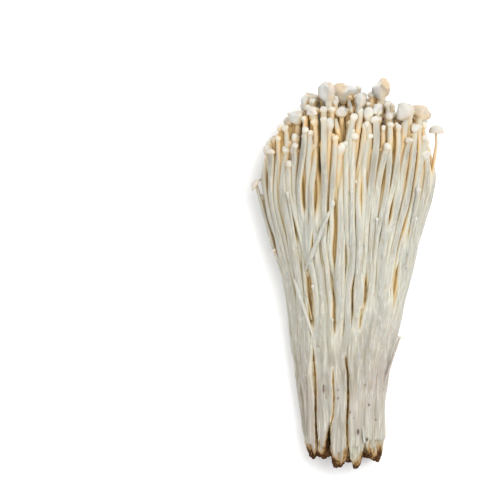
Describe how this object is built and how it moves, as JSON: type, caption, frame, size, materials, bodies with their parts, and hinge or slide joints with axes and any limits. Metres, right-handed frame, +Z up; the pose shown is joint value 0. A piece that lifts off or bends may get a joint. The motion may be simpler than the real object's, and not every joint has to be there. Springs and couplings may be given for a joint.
{
  "type": "enoki mushroom bunch",
  "caption": "Loose bunch of enoki mushrooms lying on its side: long pale stems grown together in tufts at brown root ends, spreading to a crown of small round caps.",
  "frame": {"origin": "under the middle of the bunch, on the surface that it lies on", "axes": "+X across the bunch, +Y from the root ends to the caps, +Z up"},
  "size_m": [0.0817, 0.163, 0.0428],
  "materials": {
    "flesh": "creamy white mushroom flesh, moist satin, nearly white and glossier on the caps",
    "root": "torn root end, tan with golden and dark brown patches, rough"
  },
  "bodies": {
    "root": {"tuft_upper_1": "flesh", "tuft_upper_2": "flesh", "tuft_upper_3": "flesh", "tuft_upper_4": "flesh", "tuft_upper_5": "flesh", "tuft_lower_1": "flesh", "tuft_lower_2": "flesh", "tuft_lower_3": "flesh", "root_end_upper_1": "root", "root_end_upper_2": "root", "root_end_upper_3": "root", "root_end_upper_4": "root", "root_end_upper_5": "root", "root_end_lower_1": "root", "root_end_lower_2": "root", "root_end_lower_3": "root"}
  },
  "joints": []
}
